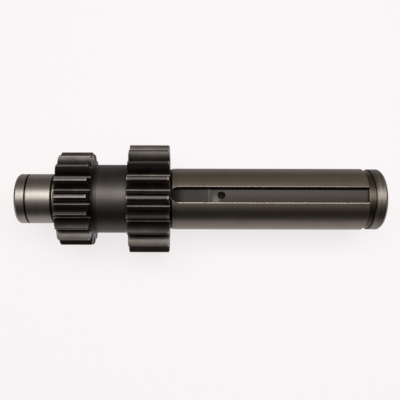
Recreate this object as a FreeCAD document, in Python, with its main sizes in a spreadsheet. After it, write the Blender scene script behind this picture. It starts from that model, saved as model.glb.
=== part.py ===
import FreeCAD, Part
import os
import Sketcher

# Transmission countershaft: one steel shaft with two spur gears cut on it, a keyway with a pin hole in
# its floor, ring grooves near both ends and centre-drilled end faces. Millimetres. The axis is +X, from
# the rear end to the front end, the keyway faces +Z, and the origin is on the axis in the middle of the
# rear bearing.

# Driving sizes, each named once; diameters and lengths in millimetres, angles in degrees
SIZES = {
    "seat_diameter": 55,
    "bearing_width": 29,
    "rear_nose": 12.6,
    "seat_chamfer_length": 2,
    "seat_chamfer_depth": 1.5,
    "rear_groove_width": 2,
    "rear_groove_depth": 1.5,
    "rear_relief_width": 3.1,
    "rear_relief_depth": 0.9,
    "collar_diameter": 61,
    "collar_width": 4,
    "rear_teeth": 18,
    "rear_module": 5.18,
    "rear_gear_width": 38,
    "rear_gap_angle": 4.7,
    "neck_diameter": 76,
    "neck_length": 39.5,
    "neck_fillet": 2,
    "tooth_foot_step": 0.1,
    "front_teeth": 19,
    "front_module": 5.72,
    "front_gear_width": 44.4,
    "front_gap_angle": 2.6,
    "pressure_angle": 25,
    "addendum_factor": 1,
    "dedendum_factor": 1.25,
    "tooth_run_out": 12.7,
    "tooth_corner_depth": 2.1,
    "rear_outer_corner": 1.2,
    "rear_outer_slope": 1.4,
    "rear_inner_corner": 1.2,
    "rear_inner_slope": 1,
    "front_inner_corner": 0.4,
    "front_inner_slope": 0.2,
    "front_outer_corner": 0.7,
    "front_outer_slope": 0.5,
    "front_relief_width": 2.5,
    "front_relief_depth": 0.8,
    "band_width": 3.7,
    "band_depth": 0.2,
    "shaft_diameter": 68,
    "shaft_length": 205.7,
    "shoulder_chamfer": 0.6,
    "front_groove_width": 7.2,
    "front_groove_depth": 1.9,
    "head_diameter": 67.3,
    "head_length": 12.1,
    "head_edge": 0.4,
    "head_chamfer_length": 2.2,
    "head_chamfer_depth": 1.7,
    "keyway_width": 16,
    "keyway_depth": 6,
    "keyway_gap": 0.3,
    "keyway_edge_radius": 0.8,
    "ridge_position": 41.5,
    "ridge_width": 1.2,
    "ridge_height": 0.3,
    "pin_hole_diameter": 9,
    "pin_hole_depth": 18,
    "pin_hole_position": 55,
    "drill_point_angle": 118,
    "centre_diameter": 14,
    "centre_angle": 60,
    "centre_pilot_diameter": 6,
    "centre_pilot_length": 8,
}

# Sizes that follow from the driving ones, as formulas of the sheet
DERIVED = {
    "seat_radius": "seat_diameter / 2",
    "collar_radius": "collar_diameter / 2",
    "neck_radius": "neck_diameter / 2",
    "shaft_radius": "shaft_diameter / 2",
    "head_radius": "head_diameter / 2",
    "collar_start": "bearing_width / 2",
    "rear_end": "-bearing_width / 2 - rear_nose",
    "rear_gear_start": "collar_start + collar_width",
    "rear_gear_end": "rear_gear_start + rear_gear_width",
    "front_gear_start": "rear_gear_end + neck_length",
    "front_gear_end": "front_gear_start + front_gear_width",
    "shaft_start": "front_gear_end + front_relief_width + band_width",
    "shaft_end": "shaft_start + shaft_length",
    "front_end": "shaft_end + front_groove_width + head_length",
    "keyway_start": "front_gear_end + keyway_gap + keyway_width / 2",
    "keyway_floor": "shaft_radius - keyway_depth",
    "edge_across": "keyway_width / 2 + keyway_edge_radius",
    "edge_up": "sqrt((shaft_radius - keyway_edge_radius) ^ 2 - edge_across ^ 2)",
    "edge_reach": "shaft_radius / (shaft_radius - keyway_edge_radius)",
    "edge_middle_angle": "(90 - atan(edge_across / edge_up) / 1 deg) / 2",
    "pressure_involute": "tan(pressure_angle) - pressure_angle * pi / 180",
}

# The same for each gear: its radii, and half the gap between its flanks at three levels
GEAR_DERIVED = {
    "pitch_radius": "{g}_module * {g}_teeth / 2",
    "tip_radius": "{g}_pitch_radius + addendum_factor * {g}_module",
    "root_radius": "{g}_pitch_radius - dedendum_factor * {g}_module",
    "corner_radius": "{g}_tip_radius - tooth_corner_depth",
    "neck_round": "min(neck_fillet; ({g}_corner_radius - neck_radius) / 2)",
    "round_inset": "{g}_neck_round * (1 - cos(45))",
    "foot_radius": "max({g}_root_radius; neck_radius + {g}_neck_round + tooth_foot_step)",
    "base_radius": "{g}_pitch_radius * cos(pressure_angle)",
    "outside_radius": "{g}_tip_radius + {g}_module / 4",
    "middle_radius": "({g}_base_radius + {g}_outside_radius) / 2",
    "base_half_gap": "90 / {g}_teeth - pressure_involute * 180 / pi",
    "middle_roll": "sqrt(({g}_middle_radius / {g}_base_radius) ^ 2 - 1)",
    "middle_half_gap": "{g}_base_half_gap + {g}_middle_roll * 180 / pi - atan({g}_middle_roll) / 1 deg",
    "outside_roll": "sqrt(({g}_outside_radius / {g}_base_radius) ^ 2 - 1)",
    "outside_half_gap": "{g}_base_half_gap + {g}_outside_roll * 180 / pi - atan({g}_outside_roll) / 1 deg",
}

# The least volume that a cut takes away, and how far a gear's equal tooth spaces may differ
SMALLEST_CUT = 0.1
PATTERN_TOLERANCE = 0.01

doc = FreeCAD.newDocument("Countershaft")
sheet = doc.addObject("Spreadsheet::Sheet", "Sizes")


def fill_sheet():
    rows = {name: str(value) for name, value in SIZES.items()}
    rows.update({name: "=" + formula for name, formula in DERIVED.items()})
    for gear in ("rear", "front"):
        for name, formula in GEAR_DERIVED.items():
            rows[f"{gear}_{name}"] = "=" + formula.format(g=gear)
    for row, name in enumerate(rows, start=1):
        sheet.set(f"A{row}", name)
        sheet.setAlias(f"B{row}", name)
    for row, text in enumerate(rows.values(), start=1):
        sheet.set(f"B{row}", text)
    doc.recompute()
    return set(rows)


def size(expression):
    """The present value of a formula of sheet names, for first guesses of sketch geometry."""
    value = sheet.evalExpression(expression)
    return float(getattr(value, "Value", value))


def bind(target, path, expression):
    """Ties a property to a formula of sheet names."""
    text = ""
    token = ""
    for letter in expression + " ":
        if letter.isalnum() or letter == "_":
            token += letter
        else:
            text += ("Sizes." + token if token in sheet_names else token) + letter
            token = ""
    target.setExpression(path, text.strip())


sheet_names = fill_sheet()

body = doc.addObject("PartDesign::Body", "Countershaft")
body.Label = "countershaft"


def origin_feature(role):
    return next(f for f in body.Origin.OriginFeatures if f.Role == role)


def new_sketch(name, plane):
    sketch = body.newObject("Sketcher::SketchObject", name)
    sketch.AttachmentSupport = [(origin_feature(plane), "")]
    sketch.MapMode = "FlatFace"
    return sketch


def place(sketch, index, point, across, up):
    """Ties a sketch point to formulas for its distances from the sketch's origin."""
    for kind, value in (("DistanceX", across), ("DistanceY", up)):
        number = sketch.addConstraint(Sketcher.Constraint(kind, -1, 1, index, point, size(value)))
        bind(sketch, f"Constraints[{number}]", value)


def point(formulas):
    return FreeCAD.Vector(size(formulas[0]), size(formulas[1]), 0)


def curved_outline(sketch, sides):
    """A closed outline of straight sides, given by two points each, and arcs, given by three."""
    first = sketch.GeometryCount
    for points in sides:
        kind = Part.Arc if len(points) == 3 else Part.LineSegment
        sketch.addGeometry(kind(*[point(formulas) for formulas in points]))

    def end_near(index, formulas):
        ends = [(sketch.getPoint(index, end) - point(formulas)).Length for end in (1, 2)]
        return 1 if ends[0] < ends[1] else 2

    for number, points in enumerate(sides):
        this = first + number
        following = first + (number + 1) % len(sides)
        corner = points[-1]
        end = end_near(this, corner)
        start = end_near(following, corner)
        sketch.addConstraint(Sketcher.Constraint("Coincident", this, end, following, start))
        place(sketch, this, end, *corner)
    for number, points in enumerate(sides):
        if len(points) == 3:
            middle = sketch.addGeometry(Part.Point(point(points[1])), True)
            place(sketch, middle, 1, *points[1])
            sketch.addConstraint(Sketcher.Constraint("PointOnObject", middle, 1, first + number))


def closed_outline(sketch, corners):
    """Straight sides between corners, each corner a pair of formulas."""
    curved_outline(sketch, list(zip(corners, corners[1:] + corners[:1])))


def revolve(kind, name, corners):
    """A turned form, or a turned cut, about the shaft's axis."""
    sketch = new_sketch(name + "Outline", "XZ_Plane")
    closed_outline(sketch, corners)
    feature = body.newObject(kind, name)
    feature.Profile = sketch
    feature.ReferenceAxis = (sketch, ["H_Axis"])
    feature.Angle = 360
    doc.recompute()
    return feature


def check_cut(name, before):
    """A cut that takes nothing away is an error."""
    if not body.Shape.Volume < before - SMALLEST_CUT:
        raise ValueError(name + " removed no material")


def cut(kind, name, corners):
    before = body.Shape.Volume
    feature = revolve(kind, name, corners)
    check_cut(name, before)
    return feature


# The turned blank: bearing seat, collar, two gear blanks with bevelled ends, neck, relief, shaft and head
revolve("PartDesign::Revolution", "Blank", [
    ("rear_end", "0"),
    ("rear_end", "seat_radius - seat_chamfer_depth"),
    ("rear_end + seat_chamfer_length", "seat_radius"),
    ("collar_start - rear_relief_width", "seat_radius"),
    ("collar_start - rear_relief_width", "seat_radius - rear_relief_depth"),
    ("collar_start", "seat_radius - rear_relief_depth"),
    ("collar_start", "collar_radius"),
    ("rear_gear_start", "collar_radius"),
    ("rear_gear_start", "rear_root_radius"),
    ("rear_gear_start + rear_outer_slope", "rear_corner_radius"),
    ("rear_gear_start + rear_outer_slope + rear_outer_corner", "rear_tip_radius"),
    ("rear_gear_end - rear_inner_slope - rear_inner_corner", "rear_tip_radius"),
    ("rear_gear_end - rear_inner_slope", "rear_corner_radius"),
    ("rear_gear_end", "rear_foot_radius"),
    ("rear_gear_end", "neck_radius + rear_neck_round"),
    ("rear_gear_end + rear_round_inset", "neck_radius + rear_round_inset"),
    ("rear_gear_end + rear_neck_round", "neck_radius"),
    ("front_gear_start - front_neck_round", "neck_radius"),
    ("front_gear_start - front_round_inset", "neck_radius + front_round_inset"),
    ("front_gear_start", "neck_radius + front_neck_round"),
    ("front_gear_start", "front_foot_radius"),
    ("front_gear_start + front_inner_slope", "front_corner_radius"),
    ("front_gear_start + front_inner_slope + front_inner_corner", "front_tip_radius"),
    ("front_gear_end - front_outer_slope - front_outer_corner", "front_tip_radius"),
    ("front_gear_end - front_outer_slope", "front_corner_radius"),
    ("front_gear_end", "front_root_radius"),
    ("front_gear_end", "shaft_radius - front_relief_depth"),
    ("front_gear_end + front_relief_width", "shaft_radius - front_relief_depth"),
    ("front_gear_end + front_relief_width", "shaft_radius - band_depth"),
    ("shaft_start", "shaft_radius - band_depth"),
    ("shaft_start + band_depth", "shaft_radius"),
    ("shaft_end - shoulder_chamfer", "shaft_radius"),
    ("shaft_end", "shaft_radius - shoulder_chamfer"),
    ("shaft_end", "shaft_radius - front_groove_depth"),
    ("shaft_end + front_groove_width", "shaft_radius - front_groove_depth"),
    ("shaft_end + front_groove_width", "head_radius - head_edge"),
    ("shaft_end + front_groove_width + head_edge", "head_radius"),
    ("front_end - head_chamfer_length", "head_radius"),
    ("front_end", "head_radius - head_chamfer_depth"),
    ("front_end", "0"),
])

# The ring groove that holds the rear bearing against its collar
cut("PartDesign::Groove", "RearRingGroove", [
    ("-bearing_width / 2 - rear_groove_width", "seat_radius - rear_groove_depth"),
    ("-bearing_width / 2", "seat_radius - rear_groove_depth"),
    ("-bearing_width / 2", "seat_radius + rear_groove_depth"),
    ("-bearing_width / 2 - rear_groove_width", "seat_radius + rear_groove_depth"),
])


def centre_hole(name, end, inward):
    """The 60 degree centre with its pilot, drilled from an end face; inward is + or -."""
    cone = "(centre_diameter - centre_pilot_diameter) / 2 / tan(centre_angle / 2)"
    cut("PartDesign::Groove", name, [
        (end, "0"),
        (end, "centre_diameter / 2"),
        (f"{end} {inward} {cone}", "centre_pilot_diameter / 2"),
        (f"{end} {inward} {cone} {inward} centre_pilot_length", "centre_pilot_diameter / 2"),
        (f"{end} {inward} {cone} {inward} centre_pilot_length", "0"),
    ])


centre_hole("RearCentre", "rear_end", "+")
centre_hole("FrontCentre", "front_end", "-")


def gear_teeth(gear, start, length):
    """One tooth space with involute flanks and a round root, cut along the gear and repeated around it."""
    name = gear.capitalize()
    sketch = new_sketch(name + "ToothSpace", "YZ_Plane")
    bind(sketch, "AttachmentOffset.Base.z", start)
    bind(sketch, "AttachmentOffset.Rotation.Angle", f"-{gear}_gap_angle")

    def on_flank(level, side):
        radius = f"{gear}_{level}_radius"
        half_gap = f"{gear}_{level}_half_gap"
        return (f"{side} * {radius} * sin({half_gap})", f"{radius} * cos({half_gap})")

    root = ("0", f"{gear}_root_radius")
    left = [on_flank(level, "-1") for level in ("outside", "middle", "base")]
    right = [on_flank(level, "1") for level in ("base", "middle", "outside")]
    curved_outline(sketch, [left, (left[2], root, right[0]), right, (right[2], left[0])])

    doc.recompute()
    before = body.Shape.Volume
    space = body.newObject("PartDesign::Pocket", name + "Space")
    space.Profile = sketch
    space.Reversed = True
    bind(space, "Length", length)
    doc.recompute()
    check_cut(name + "Space", before)
    one_space = before - body.Shape.Volume

    pattern = body.newObject("PartDesign::PolarPattern", name + "Teeth")
    pattern.Originals = [space]
    pattern.Axis = (origin_feature("X_Axis"), [""])
    pattern.Angle = 360
    bind(pattern, "Occurrences", f"{gear}_teeth")
    body.Tip = pattern
    doc.recompute()
    removed = before - body.Shape.Volume
    if abs(removed - one_space * size(f"{gear}_teeth")) > PATTERN_TOLERANCE * removed:
        raise ValueError(name + "Teeth did not cut every space")


gear_teeth("rear", "collar_start", "collar_width + rear_gear_width + tooth_run_out")
gear_teeth("front", "front_gear_start - tooth_run_out",
           "tooth_run_out + front_gear_width + front_relief_width")


def keyway_sketch(name, height):
    sketch = new_sketch(name, "XY_Plane")
    bind(sketch, "AttachmentOffset.Base.z", height)
    return sketch


def rounded_slot(sketch, stop):
    """A slot outline with a round end beside the gear, square at its other end."""
    near_low = ("keyway_start", "-keyway_width / 2")
    near_high = ("keyway_start", "keyway_width / 2")
    far_low = (stop, "-keyway_width / 2")
    far_high = (stop, "keyway_width / 2")
    tip = ("keyway_start - keyway_width / 2", "0")
    curved_outline(sketch, [
        (near_high, tip, near_low),
        (near_low, far_low),
        (far_low, far_high),
        (far_high, near_high),
    ])


def pocket(name, sketch, length, towards_plus=False):
    """A straight cut, towards -Z or -X unless it is told otherwise."""
    before = body.Shape.Volume
    feature = body.newObject("PartDesign::Pocket", name)
    feature.Profile = sketch
    feature.Reversed = towards_plus
    bind(feature, "Length", length)
    doc.recompute()
    check_cut(name, before)


# The keyway, open into the front ring groove, with a low ridge across its floor between two cutter passes
keyway = keyway_sketch("KeywayOutline", "shaft_radius")
rounded_slot(keyway, "shaft_end")
pocket("Keyway", keyway, "keyway_depth - ridge_height")

floor = keyway_sketch("KeywayFloor", "keyway_floor + ridge_height")
rounded_slot(floor, "front_gear_end + ridge_position - ridge_width / 2")
closed_outline(floor, [
    ("front_gear_end + ridge_position + ridge_width / 2", "-keyway_width / 2"),
    ("shaft_end", "-keyway_width / 2"),
    ("shaft_end", "keyway_width / 2"),
    ("front_gear_end + ridge_position + ridge_width / 2", "keyway_width / 2"),
])
pocket("KeywayPasses", floor, "ridge_height")

# The keyway's two long edges, rounded where its walls meet the shaft
edges = new_sketch("KeywayEdges", "YZ_Plane")
bind(edges, "AttachmentOffset.Base.z", "keyway_start")
for side in ("-1", "1"):
    wall = (f"{side} * keyway_width / 2", "edge_up")
    middle = (f"{side} * (edge_across - keyway_edge_radius * sin(edge_middle_angle))",
              "edge_up + keyway_edge_radius * cos(edge_middle_angle)")
    crown = (f"{side} * edge_across * edge_reach", "edge_up * edge_reach")
    crown_above = (crown[0], "shaft_radius + keyway_edge_radius")
    wall_above = (wall[0], "shaft_radius + keyway_edge_radius")
    curved_outline(edges, [
        (wall, middle, crown),
        (crown, crown_above),
        (crown_above, wall_above),
        (wall_above, wall),
    ])
pocket("KeywayEdgeRounds", edges, "shaft_end - keyway_start", towards_plus=True)

# The drilled hole for the pin that keeps the key in place
hole_sketch = keyway_sketch("PinHoleCentre", "keyway_floor")
hole_centre = point(("front_gear_end + pin_hole_position", "0"))
upwards = FreeCAD.Vector(0, 0, 1)
hole_sketch.addGeometry(Part.Circle(hole_centre, upwards, size("pin_hole_diameter / 2")))
place(hole_sketch, 0, 3, "front_gear_end + pin_hole_position", "0")
radius_number = hole_sketch.addConstraint(Sketcher.Constraint("Radius", 0, size("pin_hole_diameter / 2")))
bind(hole_sketch, f"Constraints[{radius_number}]", "pin_hole_diameter / 2")
doc.recompute()
solid_before_hole = body.Shape.Volume
hole = body.newObject("PartDesign::Hole", "PinHole")
hole.Profile = hole_sketch
doc.recompute()
hole.DepthType = "Dimension"
hole.DrillPoint = "Angled"
bind(hole, "Diameter", "pin_hole_diameter")
bind(hole, "Depth", "pin_hole_depth")
bind(hole, "DrillPointAngle", "drill_point_angle")
doc.recompute()
check_cut("PinHole", solid_before_hole)

body.Placement = FreeCAD.Placement()
doc.recompute()

# Every object is sound and the part is one closed solid before it is written
for item in doc.Objects:
    if "Invalid" in item.State or "Error" in item.State:
        raise ValueError(item.Label + " failed")
shape = body.Shape
if shape.isNull() or not shape.isValid() or len(shape.Solids) != 1:
    raise ValueError("the countershaft is not one valid solid")

os.makedirs("parts", exist_ok=True)
shape.exportStep(os.path.join("parts", body.Label + ".step"))
print("length", round(shape.BoundBox.XLength, 3), "volume", round(shape.Volume), "faces", len(shape.Faces))
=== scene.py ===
import math

import bpy
from mathutils import Matrix, Vector


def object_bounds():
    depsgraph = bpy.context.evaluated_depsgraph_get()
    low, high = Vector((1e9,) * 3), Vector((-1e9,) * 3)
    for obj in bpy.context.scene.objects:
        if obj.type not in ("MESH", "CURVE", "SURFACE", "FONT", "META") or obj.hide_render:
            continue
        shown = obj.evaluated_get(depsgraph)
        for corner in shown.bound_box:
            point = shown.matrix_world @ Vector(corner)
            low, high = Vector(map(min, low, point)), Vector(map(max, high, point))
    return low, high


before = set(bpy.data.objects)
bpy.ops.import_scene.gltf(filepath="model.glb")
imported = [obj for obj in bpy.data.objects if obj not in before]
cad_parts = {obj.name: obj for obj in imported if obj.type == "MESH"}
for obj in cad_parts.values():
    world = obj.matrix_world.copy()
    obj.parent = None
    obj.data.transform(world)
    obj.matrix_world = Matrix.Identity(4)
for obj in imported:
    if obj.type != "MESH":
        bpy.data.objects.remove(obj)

cad_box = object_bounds()
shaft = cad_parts["countershaft"]

# The photograph's camera looks down on the keyway, turned a little about the shaft's axis. Its
# place, and the shaft's, are given in the photograph's pixels.
IMAGE_WIDTH = 400
METRES_PER_PIXEL = 0.0011206
REAR_END_PIXEL_X = 20.75
CAMERA_PIXEL_X = 175.75
AXIS_PIXEL_Y = 198.95
CAMERA_DISTANCE_PIXELS = 515.0
CAMERA_TURN = math.radians(-8.2)
CAMERA_ROLL = math.radians(0.13)
CLIP_START = 0.01
SENSOR_WIDTH = 36.0

# One long lamp, further up in the photograph than the camera
LIGHT_TURN = CAMERA_TURN + math.radians(18)
LIGHT_DISTANCE = 1.3
LIGHT_X = 0.23
LIGHT_LENGTH = 1.5
LIGHT_DEPTH = 0.58
LIGHT_POWER = 21

# The room's brightness fades with a direction's height and along the shaft. Each fade gives where
# it starts and ends, and the strength at its start and at its end.
ROOM_COLOUR = (1.0, 0.87, 0.76)
ROOM_LEAN = math.radians(40)
ROOM_OVERHEAD = (0.0, 0.5, 0.015, 0.42)
ROOM_ALONG = (-0.36, 0.04, 0.13, 1.0)

# The floor's glow is how much of its white is its own. In reflections it fades across the floor,
# in metres from the shaft's axis, on the side near the viewer and on the far side.
FLOOR_WHITE = (0.940, 0.910, 0.918)
FLOOR_HALF_SIZE = 4.0
FLOOR_GAP = 0.001
FLOOR_ROUGHNESS = 0.9
SEEN_GLOW = 0.85
MIRRORED_GLOW = 0.9
NEAR_SIDE = (-0.35, -1.0, 1.0, 0.3)
FAR_SIDE = (0.16, 0.5, 0.5, 0.15)
FLOOR_MIDDLE = (-0.03, 0.03)

# Zones of the shaft, in metres. x runs along the axis from the middle of the rear bearing to the
# front end, y is up in the photograph, and z points out of the keyway. A zone is where all its
# tests hold: "in" is 1 between two places, and "past" goes from 0 at the first to 1 at the second.
# A name among the tests stands for the zone of that name.
ZONES = {
    "journal": (("x", "past", 0.0114, 0.0110),),
    "ring_groove": (("x", "in", -0.0165, -0.0145), ("radius", "past", 0.0273, 0.0270)),
    "rear_relief": (("x", "in", 0.0114, 0.0145),),
    "rear_gear": (("x", "in", 0.0185, 0.0565), ("radius", "past", 0.0305, 0.0309)),
    "rear_tip": ("rear_gear", ("radius", "past", 0.0514, 0.0517)),
    "rear_tip_end": ("rear_tip", ("x", "past", 0.0532, 0.0538)),
    "neck": (("x", "in", 0.0565, 0.0960), ("radius", "past", 0.0431, 0.0421)),
    "neck_shade": (("x", "past", 0.0640, 0.0575),),
    "neck_corner": (("x", "in", 0.0622, 0.0626),),
    "front_gear": (("x", "in", 0.0960, 0.1404), ("radius", "past", 0.0401, 0.0404)),
    "front_tip": ("front_gear", ("radius", "past", 0.05966, 0.05996)),
    "front_tip_rear_end": ("front_tip", ("x", "past", 0.0975, 0.0969)),
    "front_tip_front_end": ("front_tip", ("x", "past", 0.1381, 0.1387)),
    "front_relief": (("x", "in", 0.1404, 0.1431), ("radius", "past", 0.046, 0.044)),
    "keyway": (("z", "past", 0.0286, 0.0284), ("z", "past", 0.0260, 0.0275),
               ("y", "in", -0.0081, 0.0081), ("x", "in", 0.1400, 0.3523)),
    # Painted shade on the keyway's floor: darker towards its lower wall, towards the front gear,
    # and darkest at its start beside the gear
    "keyway_low_shade": (("y", "past", 0.0040, -0.0080),),
    "keyway_gear_shade": (("x", "past", 0.205, 0.165),),
    "keyway_start": (("x", "past", 0.158, 0.145),),
    "keyway_rubbed": (("x", "past", 0.1830, 0.1890), ("x", "past", 0.1950, 0.1900),
                      ("y", "past", 0.0040, -0.0070)),
    # Painted shadow: a black strip on the keyway's floor along its upper wall
    "keyway_wall_shadow": (("y", "past", 0.0054, 0.0061),),
    "keyway_rim": (("z", "past", 0.0312, 0.0316), ("x", "in", 0.1487, 0.3522)),
    # Painted highlights along the keyway's two long edges
    "lower_edge_glint": ("keyway_rim", ("y", "in", -0.0092, -0.0079)),
    "upper_edge_glint": ("keyway_rim", ("y", "in", 0.0079, 0.0090)),
    "keyway_end": (("x", "past", 0.3470, 0.3490), ("x", "past", 0.3530, 0.3526),
                   ("y", "in", -0.0078, 0.0066), ("z", "in", 0.0270, 0.0320)),
    # Painted light on the keyway's end wall, which would otherwise mirror dark
    "end_wall_painted_light": ("keyway_end", ("x", "past", 0.3516, 0.3520), ("z", "past", 0.0282, 0.0286)),
    "groove": (("x", "in", 0.3523, 0.3595), ("radius", "past", 0.0336, 0.0334)),
    "head": (("x", "past", 0.3593, 0.3595),),
}
ZONE_SOFTNESS = 0.00015

# A painted highlight, a light strip, on every tooth's tip: the zone that it is in, the number of
# teeth, the angle of one strip and half its width. Angles are in degrees about the axis, 0 at the
# keyway.
GLINT_STRIPS = {
    "rear_tip_glint": ("rear_tip", 18, -6.6, 0.85),
    "front_tip_glint": ("front_tip", 19, 2.6 - 180 / 19, 0.8),
}
STRIP_SOFTNESS = 0.3

# Zones that are wherever any of their parts is
UNIONS = {
    "gear": ("rear_gear", "front_gear"),
    "tip": ("rear_tip", "front_tip"),
    # Painted highlights on the teeth's ends
    "tooth_end_glint": ("rear_tip_end", "front_tip_rear_end", "front_tip_front_end"),
    # Painted shade in the relief grooves and the ring groove
    "relief": ("rear_relief", "front_relief", "ring_groove"),
    "edges": ("lower_edge_glint", "upper_edge_glint"),
    "dark": ("gear", "neck", "keyway", "groove"),
}

# Finishes of two colours, and where on their noise the one passes into the other
MOTTLED = {
    "ground": (0.35, 0.70, (0.188, 0.162, 0.134), (0.160, 0.137, 0.112)),
    "satin": (0.35, 0.70, (0.062, 0.055, 0.050), (0.045, 0.040, 0.036)),
    "neck": (0.30, 0.70, (0.070, 0.064, 0.060), (0.058, 0.053, 0.049)),
    "journal": (0.25, 0.75, (0.290, 0.262, 0.232), (0.255, 0.229, 0.202)),
    "head": (0.42, 0.62, (0.185, 0.160, 0.140), (0.120, 0.103, 0.090)),
}
BLACK = (0.004, 0.0035, 0.003)
COLOURS = {
    "turning_line": (0.178, 0.154, 0.128),
    "groove": (0.062, 0.050, 0.040),
    "neck_shade": (0.012, 0.010, 0.009),
    "neck_corner": BLACK,
    "keyway": (0.058, 0.052, 0.047),
    # Painted shade on the keyway's floor
    "keyway_low_shade": (0.034, 0.030, 0.027),
    "keyway_gear_shade": (0.034, 0.031, 0.029),
    "keyway_start": (0.010, 0.009, 0.008),
    "keyway_rubbed": (0.110, 0.103, 0.099),
    # Painted shadow along the keyway's upper wall
    "keyway_wall_shadow": BLACK,
    "rear_tip": (0.105, 0.096, 0.090),
    "front_tip": (0.045, 0.041, 0.038),
    # Painted highlights on the teeth's tips
    "front_tip_glint": (0.105, 0.097, 0.090),
    "rear_tip_glint": (0.300, 0.278, 0.260),
    # Painted light on the keyway's end wall
    "end_wall_painted_light": (0.120, 0.110, 0.100),
    # Painted highlight on the teeth's ends
    "tooth_end_glint": (0.420, 0.395, 0.370),
    # Painted shade in the relief grooves and the ring groove
    "relief": (0.006, 0.0055, 0.005),
    # Painted shade in inner corners
    "corner_shade": BLACK,
    # Worn outer edges, whose colour also carries a painted glint
    "wear_and_glint": (0.340, 0.315, 0.295),
    # Painted highlights along the keyway's long edges
    "upper_edge_glint": (0.200, 0.172, 0.150),
    "lower_edge_glint": (0.340, 0.300, 0.270),
}
TURNING_LINES = (0.35, 0.65)
COVER = {"tooth_end_glint": 0.7, "corner_shade": 0.7, "wear_and_glint": 0.8}

# Outer edges are worn and carry a painted glint, and inner corners get painted shade. The normal
# that a bevel gives differs from the face's own at an edge, and an open place tells an outer edge
# from an inner corner.
BEVEL_RADIUS = 0.0004
BEVEL_SAMPLES = 4
OPEN_DISTANCE = 0.003
OPEN_SAMPLES = 6
EDGE_TURN = (0.97, 0.80)
WEAR_AND_GLINT_OPEN = (0.55, 0.85)
CORNER_SHADE_OPEN = (0.75, 0.35)

# Noises: the scale along each axis, per metre or per radian about the shaft, the place of the slice
# where two axes are given, and the detail. Turning lines run round the shaft, and the keyway's
# milled ones run along it.
NOISES = {
    "lines": ({"x": 2600.0, "turn": 1.2}, 0.0, 2.0),
    "bands": ({"x": 420.0, "turn": 0.8}, 3.0, 3.0),
    "milled": ({"x": 60.0, "y": 2600.0}, 5.0, 3.0),
    "patches": ({"x": 60.0, "y": 60.0, "z": 60.0}, 0.0, 4.0),
    "grain": ({"x": 900.0, "y": 900.0, "z": 900.0}, 0.0, 3.0),
}
NOISE_MIDDLE = 0.5

STEEL_ROUGHNESS = 0.38
LINE_ROUGHNESS = 0.12
ROUGHNESS = {
    "journal": 0.40,
    "head": 0.42,
    "neck": 0.46,
    "gear": 0.38,
    "tip": 0.58,
    "keyway": 0.62,
    "edges": 0.42,
}
BUMP_STRENGTH = 0.25
BUMP_DISTANCE = 0.00002
GRAIN_HEIGHT = 0.6

# A Mix node's two inputs and its output, by what it mixes
MIX_SOCKETS = {"FLOAT": (2, 3, 0), "RGBA": (6, 7, 2)}


class Graph:
    """Short names for the nodes of one tree."""

    def __init__(self, tree):
        self.tree = tree

    def node(self, kind):
        return self.tree.nodes.new("ShaderNode" + kind)

    def put(self, socket, value):
        """Links a socket, or sets it to a number, a vector, or a colour, which is a tuple."""
        if isinstance(value, bpy.types.NodeSocket):
            self.tree.links.new(value, socket)
        elif isinstance(value, tuple):
            socket.default_value = (*value, 1)
        else:
            socket.default_value = value

    def operate(self, kind, operation, values):
        node = self.node(kind)
        node.operation = operation
        for socket, value in zip(node.inputs, values):
            self.put(socket, value)
        return node

    def math(self, operation, *values):
        return self.operate("Math", operation, values).outputs["Value"]

    def times(self, value, factor):
        return self.math("MULTIPLY", value, factor)

    def dot(self, first, second):
        return self.operate("VectorMath", "DOT_PRODUCT", (first, second)).outputs["Value"]

    def fold(self, operation, values):
        result, *rest = values
        for value in rest:
            result = self.math(operation, result, value)
        return result

    def ramp(self, value, low, high, first=0.0, second=1.0, smooth=True):
        """The first value at low and the second at high, which may be the lower one."""
        node = self.node("MapRange")
        node.interpolation_type = "SMOOTHSTEP" if smooth else "LINEAR"
        ends = {"From Min": low, "From Max": high, "To Min": first, "To Max": second}
        for name, number in ends.items():
            node.inputs[name].default_value = number
        self.put(node.inputs["Value"], value)
        return node.outputs["Result"]

    def between(self, value, low, high):
        """1 between two places, with soft ends."""
        inside = self.ramp(value, low - ZONE_SOFTNESS, low + ZONE_SOFTNESS)
        return self.times(inside, self.ramp(value, high + ZONE_SOFTNESS, high - ZONE_SOFTNESS))

    def mix(self, mask, first, second, kind="FLOAT"):
        """The first value where the mask is 0, and the second where it is 1."""
        node = self.node("Mix")
        node.data_type = kind
        first_input, second_input, output = MIX_SOCKETS[kind]
        for index, value in ((0, mask), (first_input, first), (second_input, second)):
            self.put(node.inputs[index], value)
        return node.outputs[output]

    def tint(self, mask, first, second):
        """As mix, for colours."""
        return self.mix(mask, first, second, "RGBA")

    def strips(self, turn, count, centre, half_width):
        """1 on equal strips around the axis, one of them at the given angle."""
        step = 360.0 / count
        from_centre = self.math("SUBTRACT", turn, math.radians(centre))
        steps = self.times(from_centre, count / (2 * math.pi))
        nearest = self.math("ROUND", steps)
        offset = self.math("ABSOLUTE", self.math("SUBTRACT", steps, nearest))
        outside, inside = half_width + STRIP_SOFTNESS, half_width - STRIP_SOFTNESS
        return self.ramp(offset, outside / step, inside / step)

    def noise(self, axes, scales, place, detail):
        """Noise along two axes at the given place of the third, or along three."""
        where = self.node("CombineXYZ")
        scaled = [self.times(axes[axis], scale) for axis, scale in scales.items()]
        for socket, value in zip(where.inputs, (*scaled, place)):
            self.put(socket, value)
        node = self.node("TexNoise")
        node.inputs["Scale"].default_value = 1.0
        node.inputs["Detail"].default_value = detail
        self.put(node.inputs["Vector"], where.outputs["Vector"])
        return node.outputs["Fac"]

    def split(self, vector):
        node = self.node("SeparateXYZ")
        self.put(node.inputs["Vector"], vector)
        return node.outputs

    def place(self):
        """The shaded point's x, y and z in the object's own coordinates."""
        return self.split(self.node("TexCoord").outputs["Object"])


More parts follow.
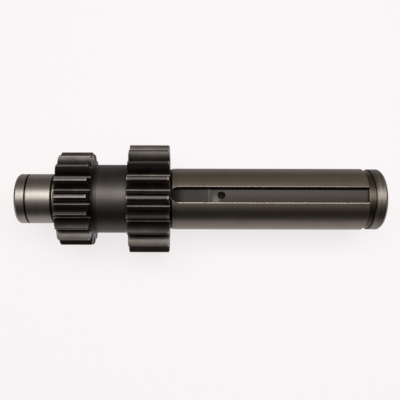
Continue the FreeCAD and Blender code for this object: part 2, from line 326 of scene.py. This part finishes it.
def new_material(name):
    """A material, its graph and its shader's inputs."""
    material = bpy.data.materials.new(name)
    material.use_nodes = True
    return material, Graph(material.node_tree), material.node_tree.nodes["Principled BSDF"].inputs


def find_zones(g, axes):
    """A mask for every zone, by name."""
    zones = {}
    for name, tests in ZONES.items():
        masks = []
        for test in tests:
            if isinstance(test, str):
                masks.append(zones[test])
            else:
                axis, kind, first, second = test
                mask = g.between if kind == "in" else g.ramp
                masks.append(mask(axes[axis], first, second))
        zones[name] = g.fold("MULTIPLY", masks)
    for name, (tip, count, centre, half_width) in GLINT_STRIPS.items():
        strips = g.strips(axes["turn"], count, centre, half_width)
        zones[name] = g.times(zones[tip], strips)
    for name, parts in UNIONS.items():
        zones[name] = g.fold("MAXIMUM", [zones[part] for part in parts])
    return zones


def add_wear_glint_and_corner_shade(g, zones):
    """The worn edges, which also carry a painted glint, and the painted shade in inner corners, as
    two more zones.
    """
    rounded = g.node("Bevel")
    rounded.samples = BEVEL_SAMPLES
    rounded.inputs["Radius"].default_value = BEVEL_RADIUS
    face_normal = g.node("NewGeometry").outputs["Normal"]
    turned = g.dot(rounded.outputs["Normal"], face_normal)
    hollow = g.node("AmbientOcclusion")
    hollow.samples = OPEN_SAMPLES
    hollow.inputs["Distance"].default_value = OPEN_DISTANCE
    openness = hollow.outputs["AO"]
    # Worn outer edges, which also carry a painted glint
    zones["wear_and_glint"] = g.times(g.ramp(turned, *EDGE_TURN), g.ramp(openness, *WEAR_AND_GLINT_OPEN))
    # Painted shade in inner corners, left off at the keyway's end
    off_the_end = g.math("SUBTRACT", 1.0, zones["keyway_end"])
    zones["corner_shade"] = g.times(g.ramp(openness, *CORNER_SHADE_OPEN), off_the_end)


def steel_colour(g, zones, noises):
    """The finishes, one over the other, with painted shade, shadow and highlights laid over them.
    """

    def mottled(finish, noise):
        low, high, first, second = MOTTLED[finish]
        return g.tint(g.ramp(noises[noise], low, high), first, second)

    def coated(colour, names):
        for name in names:
            colour = g.tint(zones[name], colour, COLOURS[name])
        return colour

    neck = coated(mottled("neck", "patches"), ("neck_shade", "neck_corner"))
    # The keyway's floor, with its painted shade, its painted shadow and a rubbed patch
    keyway_shades_and_rubbing = ("keyway_low_shade", "keyway_gear_shade", "keyway_start", "keyway_rubbed", "keyway_wall_shadow")
    keyway = coated(COLOURS["keyway"], keyway_shades_and_rubbing)
    tip = g.tint(zones["front_gear"], COLOURS["rear_tip"], COLOURS["front_tip"])
    line = g.ramp(noises["lines"], *TURNING_LINES)
    colour = g.tint(line, mottled("ground", "patches"), COLOURS["turning_line"])
    for name, coat in (
        ("journal", mottled("journal", "bands")),
        ("head", mottled("head", "bands")),
        ("dark", mottled("satin", "patches")),
        ("groove", COLOURS["groove"]),
        ("neck", neck),
        ("keyway", keyway),
        ("tip", tip),
    ):
        colour = g.tint(zones[name], colour, coat)
    # Painted highlights on the teeth's tips, and painted light on the keyway's end wall
    colour = coated(colour, ("front_tip_glint", "rear_tip_glint", "end_wall_painted_light"))
    # Painted highlights on the teeth's ends, painted shade in the grooves and inner corners, and
    # worn edges with a painted glint
    for name in ("tooth_end_glint", "relief", "corner_shade", "wear_and_glint"):
        mask = g.times(zones[name], COVER[name]) if name in COVER else zones[name]
        colour = g.tint(mask, colour, COLOURS[name])
    # Painted highlights along the keyway's long edges, laid over everything
    return coated(colour, ("upper_edge_glint", "lower_edge_glint"))


def steel_roughness(g, zones, noises):
    uneven = g.times(g.math("SUBTRACT", noises["lines"], NOISE_MIDDLE), LINE_ROUGHNESS)
    roughness = g.math("ADD", STEEL_ROUGHNESS, uneven)
    for name, value in ROUGHNESS.items():
        roughness = g.mix(zones[name], roughness, value)
    return roughness


def steel_bump(g, zones, noises):
    """The relief of the machining lines, level along the keyway's edges."""
    height = g.times(g.math("ADD", noises["lines"], noises["bands"]), 0.5)
    height = g.mix(zones["dark"], height, g.times(noises["grain"], GRAIN_HEIGHT))
    height = g.mix(zones["keyway"], height, noises["milled"])
    height = g.mix(zones["edges"], height, NOISE_MIDDLE)
    bump = g.node("Bump")
    bump.inputs["Strength"].default_value = BUMP_STRENGTH
    bump.inputs["Distance"].default_value = BUMP_DISTANCE
    g.put(bump.inputs["Height"], height)
    return bump.outputs["Normal"]


def steel_material():
    """The shaft's steel, with a finish for each zone."""
    material, g, shader = new_material("shaft_steel")
    x, y, z = g.place()
    radius = g.math("SQRT", g.math("ADD", g.times(y, y), g.times(z, z)))
    axes = {"x": x, "y": y, "z": z, "radius": radius, "turn": g.math("ARCTAN2", y, z)}
    zones = find_zones(g, axes)
    add_wear_glint_and_corner_shade(g, zones)
    noises = {name: g.noise(axes, *settings) for name, settings in NOISES.items()}
    shader["Metallic"].default_value = 1.0
    g.put(shader["Base Color"], steel_colour(g, zones, noises))
    g.put(shader["Roughness"], steel_roughness(g, zones, noises))
    g.put(shader["Normal"], steel_bump(g, zones, noises))
    return material


def make_camera():
    """A camera square to the axis, its centre over the front gear, shifted to frame the shaft."""
    data = bpy.data.cameras.new("camera")
    camera = bpy.data.objects.new("camera", data)
    bpy.context.scene.collection.objects.link(camera)
    distance = CAMERA_DISTANCE_PIXELS * METRES_PER_PIXEL
    along = cad_box[0][0] + (CAMERA_PIXEL_X - REAR_END_PIXEL_X) * METRES_PER_PIXEL
    towards = Vector((0, math.sin(CAMERA_TURN), math.cos(CAMERA_TURN)))
    level = Vector((0, math.cos(CAMERA_TURN), -math.sin(CAMERA_TURN)))
    up = Matrix.Rotation(CAMERA_ROLL, 3, towards) @ level
    rotation = Matrix((up.cross(towards), up, towards)).transposed().to_4x4()
    centre = Vector((along, 0, 0)) + towards * distance
    camera.matrix_world = Matrix.Translation(centre) @ rotation
    data.sensor_width = SENSOR_WIDTH
    data.lens = SENSOR_WIDTH * CAMERA_DISTANCE_PIXELS / IMAGE_WIDTH
    data.shift_x = (IMAGE_WIDTH / 2 - CAMERA_PIXEL_X) / IMAGE_WIDTH
    data.shift_y = (AXIS_PIXEL_Y - IMAGE_WIDTH / 2) / IMAGE_WIDTH
    data.dof.use_dof = False
    data.clip_start = CLIP_START
    bpy.context.scene.camera = camera


def make_light():
    """A long area lamp that points at the shaft."""
    data = bpy.data.lights.new("above", "AREA")
    data.shape = "RECTANGLE"
    data.size = LIGHT_LENGTH
    data.size_y = LIGHT_DEPTH
    data.energy = LIGHT_POWER
    light = bpy.data.objects.new("above", data)
    bpy.context.scene.collection.objects.link(light)
    target = Vector((LIGHT_X, 0, 0))
    offset = Vector((0, math.sin(LIGHT_TURN), math.cos(LIGHT_TURN))) * LIGHT_DISTANCE
    rotation = (-offset).to_track_quat("-Z", "Y").to_matrix().to_4x4()
    light.matrix_world = Matrix.Translation(target + offset) @ rotation


def make_world():
    """A dim room, lighter overhead and up in the photograph, and darker past the rear end."""
    world = bpy.data.worlds.new("studio")
    world.use_nodes = True
    bpy.context.scene.world = world
    g = Graph(world.node_tree)
    where = g.node("TexCoord").outputs["Generated"]
    overhead = g.dot(where, Vector((0, math.sin(ROOM_LEAN), math.cos(ROOM_LEAN))))
    along = g.split(where)["X"]
    by_height = g.ramp(overhead, *ROOM_OVERHEAD)
    by_length = g.ramp(along, *ROOM_ALONG, smooth=False)
    background = world.node_tree.nodes["Background"].inputs
    g.put(background["Color"], ROOM_COLOUR)
    g.put(background["Strength"], g.times(by_height, by_length))


def make_floor():
    """A plain pale floor. Part of its white is its own, so that the shaft's shadow stays faint."""
    low = cad_box[0][2] - FLOOR_GAP
    corners = [(x * FLOOR_HALF_SIZE, y * FLOOR_HALF_SIZE, low)
               for x, y in ((-1, -1), (1, -1), (1, 1), (-1, 1))]
    mesh = bpy.data.meshes.new("floor")
    mesh.from_pydata(corners, [], [(0, 1, 2, 3)])
    floor = bpy.data.objects.new("floor", mesh)
    bpy.context.scene.collection.objects.link(floor)

    material, g, shader = new_material("floor")
    g.put(shader["Base Color"], FLOOR_WHITE)
    shader["Roughness"].default_value = FLOOR_ROUGHNESS
    shader["Specular IOR Level"].default_value = 0.0
    rays = g.node("LightPath").outputs
    across = g.place()["Y"]
    near_side = g.ramp(across, *NEAR_SIDE)
    far_side = g.ramp(across, *FAR_SIDE)
    mirrored = g.mix(g.ramp(across, *FLOOR_MIDDLE), near_side, far_side)
    glow = g.node("Emission")
    g.put(glow.inputs["Color"], FLOOR_WHITE)
    g.put(glow.inputs["Strength"], g.mix(rays["Is Camera Ray"], mirrored, 1.0))
    in_mirror = g.math("MAXIMUM", rays["Is Glossy Ray"], rays["Is Transmission Ray"])
    share = g.math("MAXIMUM", g.times(in_mirror, MIRRORED_GLOW),
                   g.times(rays["Is Camera Ray"], SEEN_GLOW))
    nodes = material.node_tree.nodes
    surface = g.node("MixShader")
    parts = (share, nodes["Principled BSDF"].outputs["BSDF"], glow.outputs["Emission"])
    for socket, value in zip(surface.inputs, parts):
        g.put(socket, value)
    g.put(nodes["Material Output"].inputs["Surface"], surface.outputs["Shader"])
    mesh.materials.append(material)


make_camera()
make_world()
make_floor()
make_light()
shaft.data.materials.clear()
shaft.data.materials.append(steel_material())
bpy.context.scene.view_settings.view_transform = "Standard"
